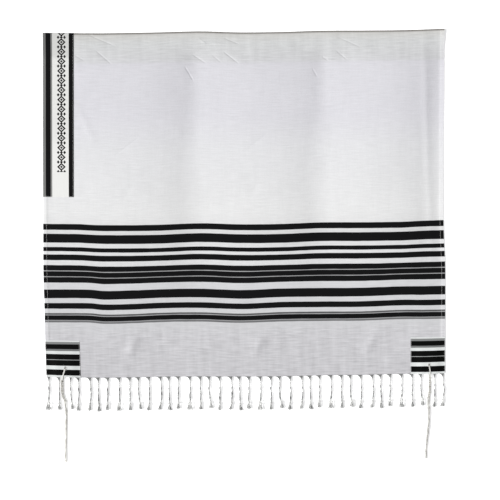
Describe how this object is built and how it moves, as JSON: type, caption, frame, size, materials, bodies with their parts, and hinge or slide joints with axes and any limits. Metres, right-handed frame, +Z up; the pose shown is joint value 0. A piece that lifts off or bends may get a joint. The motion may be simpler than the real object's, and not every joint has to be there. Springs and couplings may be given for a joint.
{
  "type": "tallit prayer shawl",
  "caption": "Striped prayer shawl folded in half across its length and laid flat, with neckband, corner patches, knotted corner tassels and a fringe along each end.",
  "frame": {"origin": "on the surface that the shawl lies on, under the middle of its overall box", "axes": "+X to the right across the folded shawl, +Y from the fringed hems towards the fold, +Z up out of the surface"},
  "size_m": [1.1045, 1.1912, 0.0119],
  "materials": {
    "cloth": "plain-woven wool blend, off-white with black stripes",
    "neckband": "woven satin ribbon, cream with black borders",
    "patch": "woven ribbon, black bars on white",
    "fringe": "twisted and knotted warp yarn, off-white",
    "tzitzit": "spun wool string, natural white"
  },
  "bodies": {
    "root": {"cloth": "cloth", "neckband": "neckband", "corner_patch_left": "patch", "corner_patch_right": "patch", "fringe_front": "fringe", "fringe_back": "fringe", "tzitzit_front_left": "tzitzit", "tzitzit_front_right": "tzitzit", "tzitzit_back_left": "tzitzit", "tzitzit_back_right": "tzitzit"}
  },
  "joints": []
}
